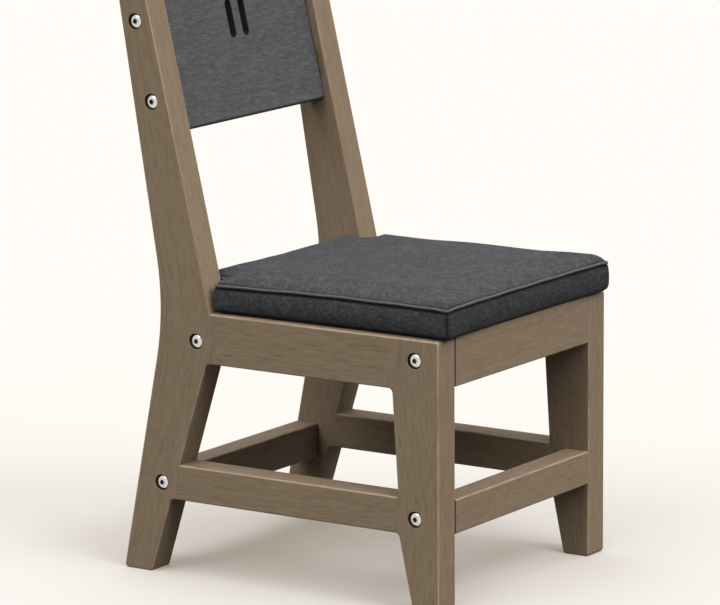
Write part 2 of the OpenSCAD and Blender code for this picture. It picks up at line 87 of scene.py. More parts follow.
# Faces bent by less than this are one flat face, and an edge bent by more than this is sharp
FLAT_ANGLE = math.radians(1.0)
SHARP_ANGLE = math.radians(35.0)
# An edge shorter than this is a step of an arc
ARC_STEP = 0.003
# Length of the strips that a bent board is cut into, the slopes of its two arms, and how far its
# grain takes to turn from one to the other
STRIP = 0.02
POST_SLOPE = 0.197
LEG_SLOPE = -0.25
BEND_SOFTNESS = 0.03
# Each board's grain starts this much further on than the last board's
GRAIN_STEP = (0.73, 0.31, 0.19)

# Cushion: what the frame doesn't give of its outline, in metres. The wadding is what the cover
# adds to the core, and the draw is how far the sides are pulled in between their corners
WADDING = 0.010
TONGUE = 0.046
TONGUE_GAP = 0.006
CUSHION_DRAW = 0.003
CUSHION_EDGE_R = 0.010
EDGE_STEPS = 5
CORNER_R = 0.008
LOBE_R = 0.009
CORNER_STEPS = 5
# The top seam stands lower beside the lobes, and is level for this share of the way there
LOBE_DROP = 0.0045
LEVEL_SHARE = 0.45
# The seam drops at the front corners, over this reach
CORNER_DIP = 0.002
DIP_REACH = 0.016
# The form that is inflated: how far in it starts, the length of its sides' steps, and its grid
START_IN = 0.0005
BLOCK_STEP = 0.012
VOXEL = 0.004
# Its top's rise, how far in from the seam that takes, and from which share of the height on
CROWN_START = 0.0168
CROWN_REACH = 0.012
TOP_SHARE = 0.9
# Slow rises and falls of the filling: their height, and the waves that they add up from
UNDULATION = 0.0006
WAVES = ((23, 11, 0.4), (-14, 29, 1.9), (37, -21, 4.1), (9, 41, 2.7), (52, 33, 5.2))
# How far the sides stand out at half their height
SIDE_SWELL = 0.0022
# How much fuller the crown is at the front corners, and how far in from them
FRONT_FULL = 0.12
CORNER_REACH = 0.045
# How much squarer the crown's edge is beside the notches, and how far in from them
NOTCH_SQUARE = 0.12
NOTCH_REACH = 0.05
# How far the sides stand out at their corners
CORNER_FILL = 0.0036
FILL_REACH = 0.014
# Inflating: how near to the seam the fabric is pinned, the pressure, the time and the most movement
PIN_W = 0.005
CLOTH_PRESSURE = 4.0
CLOTH_FRAMES = 20
CLOTH_CAP = 0.003
# The boxed edge is filled out to a rounded corner of this reach and squareness, and no point
# moves away from the reach's inner end by more than this share
EDGE_REACH = 0.010
EDGE_SQUARE = 5.0
EDGE_GROWTH = 0.5
# Crease along the top seam: width, depth inwards, and depth downwards as a share of that
CREASE_W = 0.0048
CREASE_DEEP = 0.0010
CREASE_SINK = 0.6
# Seams down the front corners: width and depth
CORNER_W = 0.0024
CORNER_DEEP = 0.0018
# How softly the sides' shade begins at the seam, and which normals count as the top's
SIDE_FADE = 0.002
TOP_NORMAL = 0.7
# Painted shade line under the piping: how far below the seam, and how wide
SHADE_LINE_DOWN = 0.0038
SHADE_LINE_W = 0.0022
# Painted shade up to this height on the cover, and on its sides and front, darker than its top by
# shares
UNDER_H = 0.0045
UNDER_SHADE = 1.0
SIDE_SHADE = 0.10
FRONT_SHADE = 0.22
# Piping: its mesh, its radius and how uneven that is, and its place beside the seam
WELT_STEP = 0.004
WELT_SIDES = 12
WELT_R = 0.0022
WELT_UNEVEN = 0.07
WELT_WAVES = ((171, 0.7), (293, 2.1), (419, 4.4))
WELT_OUT = -0.0004
WELT_UP = 0.0006
WELT_SWAY = 0.0003
SWAY_WAVE = (67, 1.3)
# Rounding of the foam core's edges
CORE_R = 0.004
# Yarns of the cloth, as radians per metre
YARNS = 2 * math.pi / 0.0016
# Sines of the heights over the horizon between which the sky brightens
SKY_RISE = (0.25, 0.75)

SIDE_BOARDS = [side + part for side in ("left_", "right_")
               for part in ("rear_leg", "front_leg", "seat_rail", "side_stretcher")]
CROSS_BOARDS = ["front_apron", "rear_seat_rail", "front_stretcher", "rear_stretcher"]
SLATS = [f"seat_slat_{i}" for i in range(1, 6)]
CLEATS = ["left_seat_cleat", "right_seat_cleat"]
BOARDS = SIDE_BOARDS + CROSS_BOARDS + SLATS + CLEATS


def work_object(mesh, name):
    obj = bpy.data.objects.new(name, mesh)
    bpy.context.scene.collection.objects.link(obj)
    return obj


def baked(obj):
    """The object's mesh with its modifiers applied; the object itself is removed."""
    bpy.context.view_layer.update()
    mesh = bpy.data.meshes.new_from_object(obj.evaluated_get(bpy.context.evaluated_depsgraph_get()))
    old = obj.data
    bpy.data.objects.remove(obj)
    bpy.data.meshes.remove(old)
    return mesh


def cad_solid(node):
    """A CAD node's solid with its flat faces whole again."""
    bm = bmesh.new()
    bm.from_mesh(NODES[node].data)
    bmesh.ops.remove_doubles(bm, verts=bm.verts, dist=WELD)
    bmesh.ops.dissolve_limit(bm, angle_limit=FLAT_ANGLE, verts=bm.verts, edges=bm.edges)
    for layer in ("verts", "edges", "faces"):
        getattr(bm, layer).index_update()
        getattr(bm, layer).ensure_lookup_table()
    return bm


def flat_regions(bm):
    """A number for each face; faces that touch and lie in one plane share it."""
    region = [-1] * len(bm.faces)
    for seed in bm.faces:
        if region[seed.index] >= 0:
            continue
        region[seed.index] = seed.index
        stack = [seed]
        while stack:
            for e in stack.pop().edges:
                if len(e.link_faces) == 2 and e.calc_face_angle(0) < FLAT_ANGLE:
                    for f in e.link_faces:
                        if region[f.index] < 0:
                            region[f.index] = seed.index
                            stack.append(f)
    return region


def runs_on(a, b, v):
    """Whether edge a bends gently into edge b at their shared point, and one is a step of an arc."""
    into = v.co - a.other_vert(v).co
    out = b.other_vert(v).co - v.co
    return into.angle(out) < SHARP_ANGLE and min(into.length, out.length) < ARC_STEP


def loops_of(edges, joined=lambda a, b, v: True):
    """Groups of edges that hang together."""
    at = defaultdict(list)
    for e in edges:
        for v in e.verts:
            at[v].append(e)
    seen, groups = set(), []
    for e in edges:
        if e in seen:
            continue
        seen.add(e)
        group, stack = [], [e]
        while stack:
            a = stack.pop()
            group.append(a)
            for v in a.verts:
                for b in at[v]:
                    if b not in seen and joined(a, b, v):
                        seen.add(b)
                        stack.append(b)
        groups.append(group)
    return groups


def span(edges):
    """The diagonal of the box round some edges."""
    co = np.array([v.co for e in edges for v in e.verts])
    return float(np.linalg.norm(np.ptp(co, axis=0)))


def lies_inside(e, tree):
    """Whether an edge is within a hole, so that the way out of it meets the solid again."""
    way = (e.link_faces[0].normal + e.link_faces[1].normal).normalized()
    middle = (e.verts[0].co + e.verts[1].co) / 2
    return tree.ray_cast(middle + way * TOUCH, way)[0] is not None


def outer_and_rims(bm):
    """The convex edges of a solid's outside, and the rims of the holes in its flat faces."""
    region = flat_regions(bm)
    tree = BVHTree.FromBMesh(bm)
    border = defaultdict(list)
    for e in bm.edges:
        if len(e.link_faces) == 2:
            a, b = (region[f.index] for f in e.link_faces)
            if a != b:
                border[a].append(e)
                border[b].append(e)
    times, rims = defaultdict(int), []
    for edges in border.values():
        loops = loops_of(edges)
        outside = max(loops, key=span)
        for e in outside:
            times[e] += 1
        rims += [loop for loop in loops if loop is not outside]
    outer = [e for e, n in times.items() if n == 2 and e.is_convex
             and e.calc_face_angle(0) > SHARP_ANGLE and not lies_inside(e, tree)]
    return outer, rims


def touches(point, trees):
    return any(tree.find_nearest(point, TOUCH)[0] is not None for tree in trees)


def mark_painted_highlight(mesh, places):
    """Sets a painted highlight: 1 along the middle of the rounded edges at the places, and 0 elsewhere.
    """
    flat = np.zeros(len(mesh.vertices), bool)
    for f in mesh.polygons:
        if f.material_index == 0:
            flat[list(f.vertices)] = True
        f.material_index = 0
    tree = KDTree(len(places))
    for number, place in enumerate(places):
        tree.insert(place, number)
    tree.balance()
    painted_highlight = [bool(places) and not flat[v.index] and tree.find(v.co)[2] < HIGHLIGHT_REACH
            for v in mesh.vertices]
    set_values(mesh, "painted_highlight", painted_highlight)


def eased(bm, radii, widest, highlit=0.0):
    """The solid with each edge in radii rounded by its own radius; those of radius highlit get a
    painted highlight.
    """
    mesh = bpy.data.meshes.new("eased")
    mesh.materials.append(None)
    mesh.materials.append(None)
    bm.to_mesh(mesh)
    places = []
    for e, r in radii.items():
        if r == highlit:
            a, b = e.verts[0].co, e.verts[1].co
            n = max(1, round((b - a).length / HIGHLIGHT_STEP))
            places += [a.lerp(b, k / n) for k in range(n + 1)]
    weights = np.zeros(len(mesh.edges), np.float32)
    for e, r in radii.items():
        weights[e.index] = r / widest
    bm.free()
    mesh.attributes.new("bevel_weight_edge", "FLOAT", "EDGE").data.foreach_set("value", weights)
    obj = work_object(mesh, "eased")
    arris = obj.modifiers.new("arris", "BEVEL")
    arris.width = widest
    arris.segments = ARRIS_STEPS
    arris.limit_method = "WEIGHT"
    arris.use_clamp_overlap = False
    arris.loop_slide = False
    arris.miter_outer = "MITER_SHARP"
    arris.material = 1
    mesh = baked(obj)
    mark_painted_highlight(mesh, places)
    return mesh


def dressed(mesh, name, nodes, body, mat, soft=False):
    """A finished piece that stands for CAD nodes and moves with their body."""
    mesh.name = name
    mesh.materials.clear()
    mesh.materials.append(mat)
    mesh.shade_smooth()
    obj = work_object(mesh, name)
    if not soft:
        mesh.set_sharp_from_angle(angle=SHARP_ANGLE)
        even = obj.modifiers.new("even", "WEIGHTED_NORMAL")
        even.keep_sharp = True
        even.weight = 100
    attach(obj, body)
    if nodes:
        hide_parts(*nodes)
    return obj


def set_vectors(mesh, name, values):
    data = mesh.attributes.new(name, "FLOAT_VECTOR", "POINT").data
    data.foreach_set("vector", np.asarray(values, np.float32).ravel())


def set_values(mesh, name, values):
    data = mesh.attributes.new(name, "FLOAT", "POINT").data
    data.foreach_set("value", np.asarray(values, np.float32))


def points_of(mesh):
    co = np.zeros(len(mesh.vertices) * 3, np.float32)
    mesh.vertices.foreach_get("co", co)
    return co.reshape(-1, 3).astype(float)


def grain_axes(node):
    """Which axes run along the board, across it and through it."""
    if node in CROSS_BOARDS:
        return 0, 2, 1
    if node in SLATS:
        return 0, 1, 2
    if node.endswith("leg"):
        return 2, 1, 0
    return 1, 2, 0


def grain_of(node, co):
    """Places in the board's own length, width and depth; each board starts somewhere else."""
    along, across, through = grain_axes(node)
    grain = co[:, [along, across, through]].copy()
    if node.endswith("rear_leg"):
        height = co[:, 2] - SEAT_H
        soft = np.sqrt(height ** 2 + BEND_SOFTNESS ** 2)
        grain[:, 1] -= POST_SLOPE * (height + soft) / 2 + LEG_SLOPE * (height - soft) / 2
    return grain + np.array(GRAIN_STEP) * BOARDS.index(node)


def strips(mesh):
    """Cuts a mesh across its height so that values at its points follow a bend."""
    bm = bmesh.new()
    bm.from_mesh(mesh)
    z = [v.co.z for v in bm.verts]
    for k in range(1, int((max(z) - min(z)) / STRIP) + 1):
        everything = bm.verts[:] + bm.edges[:] + bm.faces[:]
        bmesh.ops.bisect_plane(bm, geom=everything, dist=WELD, plane_no=(0, 0, 1),
                               plane_co=(0, 0, min(z) + k * STRIP))
    bm.to_mesh(mesh)
    bm.free()


def board_radius(node, run, trees):
    """How far a run of edges is rounded: a side board's hardly where it lies against another."""
    if node in SLATS + CLEATS:
        return SLAT_R
    longest = max(run, key=lambda e: e.calc_length())
    if touches((longest.verts[0].co + longest.verts[1].co) / 2, trees):
        return END_R if node in CROSS_BOARDS else JOINT_R
    return ARRIS_R


def middle_of(edges):
    """The middle of the box round some edges."""
    co = np.array([v.co for e in edges for v in e.verts])
    return (co.min(axis=0) + co.max(axis=0)) / 2


def shade_in_bores(co, rims):
    """Painted shade: 1 inside the counterbores that have these rims, and 0 elsewhere."""
    painted_shade = np.zeros(len(co), bool)
    for rim in rims:
        x, y, z = rim
        near = np.hypot(co[:, 1] - y, co[:, 2] - z) < COUNTERBORE_SPAN / 2
        painted_shade |= near & (np.abs(co[:, 0]) < abs(x) - RIM_R / 2)
    return painted_shade


def shade_at_ends(co):
    """Painted shade: 1 at a cross board's two ends, where it meets the legs, and 0 elsewhere."""
    off = np.abs(co[:, 0])
    return off > off.max() - END_SHADE_REACH


def make_board(node, trees, mat):
    bm = cad_solid(node)
    outer, rims = outer_and_rims(bm)
    others = [tree for name, tree in trees.items() if name != node]
    radii = {}
    for run in loops_of(outer, runs_on):
        radii.update(dict.fromkeys(run, board_radius(node, run, others)))
    bores = []
    for rim in rims:
        if abs(span(rim) - COUNTERBORE_SPAN) < SPAN_SLACK and all(e.is_convex for e in rim):
            radii.update(dict.fromkeys(rim, RIM_R))
            bores.append(middle_of(rim))
    mesh = eased(bm, radii, ARRIS_R, highlit=ARRIS_R)
    if node.endswith("rear_leg"):
        strips(mesh)
    co = points_of(mesh)
    set_vectors(mesh, "grain", grain_of(node, co))
    # Painted shade in the counterbores, and at the cross boards' ends where they meet the legs
    painted_shade = shade_in_bores(co, bores)
    if node in CROSS_BOARDS:
        painted_shade |= shade_at_ends(co)
    set_values(mesh, "painted_shade", painted_shade)
    return dressed(mesh, node + "_board", [node], "frame", mat)


def panel_edge_shade(co, rims):
    """Painted shade: 1 on the panel's edges and in its slots, and 0 on its front and back faces."""
    ordered = rims[np.argsort(rims[:, 1])]
    front, back = ordered[:2].mean(axis=0), ordered[2:].mean(axis=0)
    depth = np.linalg.norm(back - front)
    below = (co - front) @ (back - front) / depth
    return (below > EDGE_SHADE_DEPTH) & (below < depth - EDGE_SHADE_DEPTH)


def make_panel(mat):
    bm = cad_solid("backrest_panel")
    outer, rims = outer_and_rims(bm)
    radii = dict.fromkeys(outer, PANEL_R)
    slots = []
    for rim in rims:
        if span(rim) > SLOT_SPAN and all(e.is_convex for e in rim):
            radii.update(dict.fromkeys(rim, SLOT_R))
            slots.append(middle_of(rim))
    mesh = eased(bm, radii, PANEL_R, highlit=SLOT_R)
    co = points_of(mesh)
    set_vectors(mesh, "grain", co)
    # Painted shade on the panel's edges and in its slots
    set_values(mesh, "painted_shade", panel_edge_shade(co, np.array(slots)))
    return dressed(mesh, "backrest_panel_board", ["backrest_panel"], "frame", mat)


def make_bolts(node, mat):
    """The domed bolts, with eased edges, and painted shade in their sockets and at the feet of their
    heads.
    """
    bm = cad_solid(node)
    centres = [middle_of(part) for part in loops_of(bm.edges)]
    radii = {}
    for e in bm.edges:
        if len(e.link_faces) == 2 and e.is_convex and e.calc_face_angle(0) > HEAD_ANGLE:
            radii[e] = HEAD_EDGE_R
    mesh = eased(bm, radii, HEAD_EDGE_R)
    co = points_of(mesh)
    head = np.abs(co[:, 0]).max() - HEAD_H
    off = np.min([np.hypot(co[:, 1] - y, co[:, 2] - z) for _, y, z in centres], axis=0)
    foot = np.abs(co[:, 0]) < head + HEAD_EDGE_R
    # Painted shade in the sockets and round the feet of the heads
    set_values(mesh, "painted_shade", (off < SOCKET_R) | foot)
    dressed(mesh, node + "_steel", [node], "frame", mat)


# Cushion

def rounded(corners, steps):
    """An outline of (point, radius) corners with each corner rounded."""
    points = []
    for i, (b, r) in enumerate(corners):
        a, c = corners[i - 1][0], corners[(i + 1) % len(corners)][0]
        u = (a - b) / np.linalg.norm(a - b)
        v = (c - b) / np.linalg.norm(c - b)
        half = math.acos(float(u @ v)) / 2
        o = b + (u + v) / np.linalg.norm(u + v) * r / math.sin(half)
        p, q = b + u * r / math.tan(half) - o, b + v * r / math.tan(half) - o
        start = math.atan2(p[1], p[0])
        sweep = (math.atan2(q[1], q[0]) - start + math.pi) % (2 * math.pi) - math.pi
        points += [o + r * np.array([math.cos(start + sweep * k / steps),
                                     math.sin(start + sweep * k / steps)])
                   for k in range(steps + 1)]
    return np.array(points)


def with_steps(points, step):
    """Points added along the long stretches of a closed outline."""
    result = []
    for a, b in zip(points, np.roll(points, -1, axis=0)):
        n = max(1, round(float(np.linalg.norm(b - a)) / step))
        result += [a + (b - a) * k / n for k in range(n)]
    return np.array(result)


def stations(outline):
    """Each point's place along a closed outline."""
    length = np.linalg.norm(np.roll(outline, -1, axis=0) - outline, axis=1)
    return np.concatenate([[0], np.cumsum(length)[:-1]])


def outward(outline, place):
    """The outward direction in plan at places along a closed outline."""
    along = np.roll(outline, -1, axis=0) - np.roll(outline, 1, axis=0)
    along /= np.linalg.norm(along, axis=1)[:, None]
    start = stations(outline)
    whole = start[-1] + np.linalg.norm(outline[0] - outline[-1])
    x, y = (np.interp(place, np.append(start, whole), np.append(along[:, k], along[0, k]))
            for k in (0, 1))
    length = np.maximum(np.hypot(x, y), TINY)
    return np.stack([y / length, -x / length], axis=1)


def drawn_in(p):
    """The sides pulled in between their corners."""
    u = p[:, 0] / CUSHION_HALF_W
    v = (p[:, 1] - CUSHION_MID_Y) / CUSHION_HALF_D
    x = p[:, 0] * (1 - CUSHION_DRAW / CUSHION_HALF_W * (1 - v ** 2))
    y = CUSHION_MID_Y + (p[:, 1] - CUSHION_MID_Y) * (
        1 - CUSHION_DRAW / CUSHION_HALF_D * (1 - u ** 2))
    return np.stack([x, y], axis=1)


def cushion_outline(inset, step):
    """The cushion's outline in plan, this far inside its seam, with points about a step apart."""
    w, t = CUSHION_HALF_W - inset, TONGUE_HALF_W - inset
    front, lobe, back = CUSHION_FRONT + inset, LOBE_BACK - inset, CUSHION_BACK - inset
    corners = [
        ((-w, front), CORNER_R), ((w, front), CORNER_R), ((w, lobe), LOBE_R),
        ((t, lobe), LOBE_R), ((t, back), LOBE_R), ((-t, back), LOBE_R),
        ((-t, lobe), LOBE_R), ((-w, lobe), LOBE_R),
    ]
    corners = [(np.array(p), r) for p, r in corners]
    return drawn_in(with_steps(rounded(corners, CORNER_STEPS), step))


def seam_height(co):
    """Height of the top seam over the underside: lower beside the lobes and at the front corners."""
    t = np.clip((co[:, 1] - SEAM_LEVEL_Y) / (LOBE_BACK - SEAM_LEVEL_Y), 0, 1)
    tongue = np.clip((co[:, 1] - LOBE_BACK) / TONGUE, 0, 1)
    dip = CORNER_DIP * near_corners(co, [CUSHION_FRONT], DIP_REACH)
    return CUSHION_SIDE_H - LOBE_DROP * t * t * (3 - 2 * t) * (1 - tongue) - dip


def plan_distance(points, outline):
    """Distance of each point from the outline in plan, inside positive, and its place along it."""
    a, b = outline, np.roll(outline, -1, axis=0)
    ab = b - a
    length = np.linalg.norm(ab, axis=1)
    start = stations(outline)
    best = np.full(len(points), np.inf)
    place = np.zeros(len(points))
    inside = np.zeros(len(points), bool)
    for i in range(len(a)):
        ap = points - a[i]
        t = np.clip(ap @ ab[i] / length[i] ** 2, 0, 1)
        d = np.linalg.norm(ap - t[:, None] * ab[i], axis=1)
        nearer = d < best
        best = np.where(nearer, d, best)
        place = np.where(nearer, start[i] + t * length[i], place)
        if a[i][1] != b[i][1]:
            crosses = (a[i][1] > points[:, 1]) != (b[i][1] > points[:, 1])
            x = a[i][0] + (points[:, 1] - a[i][1]) * ab[i][0] / ab[i][1]
            inside ^= crosses & (points[:, 0] < x)
    return np.where(inside, best, -best), place


def cushion_block():
    """The closed form that the fabric is inflated from: rounded below, with a crisp top edge."""
    r = CUSHION_EDGE_R
    rings = [(r * (1 - math.sin(a)), r * (1 - math.cos(a)))
             for a in np.linspace(0, math.pi / 2, EDGE_STEPS)]
    rings.append((0.0, CUSHION_SIDE_H))
    mesh = bmesh.new()
    loops = []
    for inset, h in rings:
        line = cushion_outline(START_IN, BLOCK_STEP)
        if inset:
            line = line - outward(line, stations(line)) * inset
        loops.append([mesh.verts.new((x, y, CUSHION_Z + h)) for x, y in line])
    for low, high in zip(loops, loops[1:]):
        for i in range(len(low)):
            j = (i + 1) % len(low)
            mesh.faces.new((low[i], low[j], high[j], high[i]))
    mesh.faces.new(list(reversed(loops[0])))
    mesh.faces.new(loops[-1])
    data = bpy.data.meshes.new("cushion_block")
    mesh.to_mesh(data)
    mesh.free()
    obj = work_object(data, "cushion_block")
    remesh = obj.modifiers.new("even", "REMESH")
    remesh.mode = "VOXEL"
    remesh.voxel_size = VOXEL
    return baked(obj)


def undulation(p):
    """Slow rises and falls of the filling, between -1 and 1."""
    return sum(np.sin(a * p[:, 0] + b * p[:, 1] + c) for a, b, c in WAVES) / len(WAVES)


def corner_distance(co, rows):
    """Distance in plan from the nearest of the cushion's outer corners in these rows."""
    return np.min([np.hypot(co[:, 0] - side * CUSHION_HALF_W, co[:, 1] - y)
                   for side in (-1, 1) for y in rows], axis=0)


def near_corners(co, rows, reach):
    """1 at the cushion's outer corners in these rows, fading to 0 beyond the reach."""
    return np.exp(-(corner_distance(co, rows) / reach) ** 2)


def crowned(co, distance, side_normal):
    """Sets the seam's height, raises the top towards its middle and swells the sides."""
    share = (co[:, 2] - CUSHION_Z) / CUSHION_SIDE_H
    depth = np.maximum(distance - START_IN, 0)
    rise = CROWN_START + UNDULATION * undulation(co)
    notch = np.hypot(np.abs(co[:, 0]) - TONGUE_HALF_W, co[:, 1] - LOBE_BACK)
    notch = np.exp(-(notch / NOTCH_REACH) ** 2)
    rise *= 1 - np.exp(-depth / (CROWN_REACH * (1 - NOTCH_SQUARE * notch)))
    rise *= 1 + FRONT_FULL * near_corners(co, [CUSHION_FRONT], CORNER_REACH)
    top = np.clip((share - TOP_SHARE) / (1 - TOP_SHARE), 0, 1)
    co[:, 2] = CUSHION_Z + share * seam_height(co) + top * rise
    fill = CORNER_FILL * near_corners(co, CORNER_ROWS, FILL_REACH)
    swell = SIDE_SWELL * np.sin(np.pi * np.clip(share, 0, 1)) + fill
    swell *= np.exp(-depth / VOXEL)
    co[:, :2] += side_normal * swell[:, None]
    return co


def inflated(mesh, pinned):
    """Blows the fabric up between its pinned seams, and caps how far it moves."""
    obj = work_object(mesh, "cushion_cloth")
    group = obj.vertex_groups.new(name="seams")
    group.add([int(i) for i in np.nonzero(pinned)[0]], 1.0, "REPLACE")
    before = points_of(mesh)
    cloth = obj.modifiers.new("cloth", "CLOTH")
    settings = cloth.settings
    settings.quality = 4
    settings.mass = 0.3
    settings.tension_stiffness = 12.0
    settings.compression_stiffness = 12.0
    settings.shear_stiffness = 4.0
    settings.bending_stiffness = 0.4
    settings.air_damping = 2.0
    settings.use_pressure = True
    settings.uniform_pressure_force = CLOTH_PRESSURE
    settings.vertex_group_mass = "seams"
    settings.effector_weights.gravity = 0.0
    cloth.collision_settings.use_collision = False
    cloth.collision_settings.use_self_collision = False
    cloth.point_cache.frame_start = 1
    cloth.point_cache.frame_end = CLOTH_FRAMES
    scene = bpy.context.scene
    for number in range(1, CLOTH_FRAMES + 1):
        scene.frame_set(number)
    moved = baked(obj)
    scene.frame_set(1)
    shift = points_of(moved) - before
    far = np.linalg.norm(shift, axis=1, keepdims=True)
    shift *= CLOTH_CAP * np.tanh(far / CLOTH_CAP) / np.maximum(far, TINY)
    shift *= 1 - near_corners(before, CORNER_ROWS, CORNER_REACH)[:, None]
    set_points(moved, before + shift)
    return moved


def set_points(mesh, co):
    mesh.vertices.foreach_set("co", np.asarray(co, np.float32).ravel())
    mesh.update()


def squared_edge(co, distance, side, level):
    """Fills the rounded top edge out towards the seam."""
    out = np.maximum(EDGE_REACH - distance, 0)
    up = np.maximum(EDGE_REACH + co[:, 2] - level, 0)
    norm = (out ** EDGE_SQUARE + up ** EDGE_SQUARE) ** (1 / EDGE_SQUARE)
    grow = np.maximum(EDGE_REACH / np.maximum(norm, TINY), 1) - 1
    grow = np.where((out > 0) & (up > 0), np.minimum(grow, EDGE_GROWTH), 0)
    co[:, :2] += side * (out * grow)[:, None]
    co[:, 2] += up * grow
    return co


def creased(co, distance, side, level):
    """Draws the top and front corner seams in, and returns the painted shade in them and under the
    piping.
    """
    off = np.hypot(distance, co[:, 2] - level)
    crease = np.exp(-(off / CREASE_W) ** 2)
    co[:, :2] -= side * (CREASE_DEEP * crease)[:, None]
    co[:, 2] -= CREASE_DEEP * CREASE_SINK * crease
    corner = np.zeros(len(co))
    below = 1 / (1 + np.exp((co[:, 2] - level) / SIDE_FADE))
    for x, y in CORNER_SEAMS:
        near = np.hypot(co[:, 0] - x, co[:, 1] - y)
        corner = np.maximum(corner, np.exp(-(near / CORNER_W) ** 2) * below)
    co[:, :2] -= side * (CORNER_DEEP * corner)[:, None]
    # A dark line of painted shade under the piping; the surface is not moved here
    shade_line = np.exp(-((co[:, 2] - level + SHADE_LINE_DOWN) / SHADE_LINE_W) ** 2)
    crease = np.maximum(crease, shade_line * (distance < EDGE_REACH / 2))
    return co, np.maximum(crease, corner), below


def shaded(co, side, below):
    """Painted shade on the cover away from its seams: near its underside, and on its sides and front.
    """
    under = np.clip(2 - (co[:, 2] - CUSHION_Z) / UNDER_H, 0, 1)
    front = np.maximum(-side[:, 1], 0)
    return np.maximum(UNDER_SHADE * under, (SIDE_SHADE + FRONT_SHADE * front) * below)


def woven(mesh, co, place):
    """Places in the cloth: in plan on the top, and along and up the sides elsewhere."""
    normals = np.zeros(len(mesh.vertices) * 3, np.float32)
    mesh.vertices.foreach_get("normal", normals)
    flat = np.abs(normals.reshape(-1, 3)[:, 2]) > TOP_NORMAL
    weave = np.where(flat[:, None], co[:, :2], np.stack([place, co[:, 2]], axis=1))
    return np.concatenate([weave, np.zeros((len(co), 1))], axis=1)


def finish_cover(mesh, outline):
    """Squares the edge, creases the seams and sets the values that the material follows, painted shade
    too.
    """
    co = points_of(mesh)
    distance, place = plan_distance(co[:, :2], outline)
    side = outward(outline, place)
    level = CUSHION_Z + seam_height(co)
    co = squared_edge(co, distance, side, level)
    distance, place = plan_distance(co[:, :2], outline)
    co, seam, below = creased(co, distance, side, level)
    set_points(mesh, co)
    # The seam value is painted shade: in the creases, under the piping, near the underside and on the
    # sides and front
    set_values(mesh, "seam", np.maximum(seam, shaded(co, side, below)))
    set_values(mesh, "piping", np.zeros(len(co)))
    set_vectors(mesh, "weave", woven(mesh, co, place))


def make_cover(mat):
    mesh = cushion_block()
    outline = cushion_outline(0.0, BLOCK_STEP)
    co = points_of(mesh)
    distance, place = plan_distance(co[:, :2], outline)
    co = crowned(co, distance, outward(outline, place))
    set_points(mesh, co)
    h = co[:, 2] - CUSHION_Z
    seam = np.hypot(distance - START_IN, h - seam_height(co)) < PIN_W
    mesh = inflated(mesh, seam | (h < VOXEL / 2))
    obj = work_object(mesh, "cushion_smooth")
    finer = obj.modifiers.new("finer", "SUBSURF")
    finer.levels = 1
    mesh = baked(obj)
    finish_cover(mesh, outline)
    cover = dressed(mesh, "seat_cushion", ["cushion_cover"], "cushion", mat, soft=True)


def make_welt(mat):
    """The piping sewn into the top seam."""
    line = cushion_outline(0.0, WELT_STEP)
    place = stations(line)
    out = outward(line, place)
    wobble = sum(np.sin(place * a + b) for a, b in WELT_WAVES) / len(WELT_WAVES)
    radius = WELT_R * (1 + WELT_UNEVEN * wobble)
    centre = np.stack([line[:, 0], line[:, 1], CUSHION_Z + seam_height(line)], axis=1)
    centre[:, :2] += out * WELT_OUT
    centre[:, 2] += WELT_UP + WELT_SWAY * np.sin(place * SWAY_WAVE[0] + SWAY_WAVE[1])
    turns = np.linspace(0, 2 * math.pi, WELT_SIDES, endpoint=False)
    points, values = [], []
    for c, o, r, s in zip(centre, out, radius, place):
        for turn in turns:
            points.append(c + r * (math.cos(turn) * np.array([*o, 0]) + math.sin(turn) * UP))
            values.append((s, turn * WELT_R, 0.0))
    n, m = len(line), WELT_SIDES
    faces = [(i * m + j, (i + 1) % n * m + j, (i + 1) % n * m + (j + 1) % m, i * m + (j + 1) % m)
             for i in range(n) for j in range(m)]
    mesh = bpy.data.meshes.new("welt")
    mesh.from_pydata(points, [], faces)
    mesh.update()
    set_vectors(mesh, "weave", values)
    set_values(mesh, "seam", np.zeros(len(points)))
    # The piping value marks the cord for its painted highlight
    set_values(mesh, "piping", np.ones(len(points)))
    dressed(mesh, "seat_cushion_welt", [], "cushion", mat, soft=True)


def make_core(mat):
    bm = cad_solid("cushion_core")
    outer, _ = outer_and_rims(bm)
    mesh = eased(bm, dict.fromkeys(outer, CORE_R), CORE_R)
    co = points_of(mesh)
    share = (co[:, 2] - CUSHION_Z) / CUSHION_SIDE_H
    co[:, 2] -= share * (CUSHION_SIDE_H - seam_height(co))
    set_points(mesh, co)
    core = dressed(mesh, "seat_cushion_core", ["cushion_core"], "cushion", mat, soft=True)


# Materials

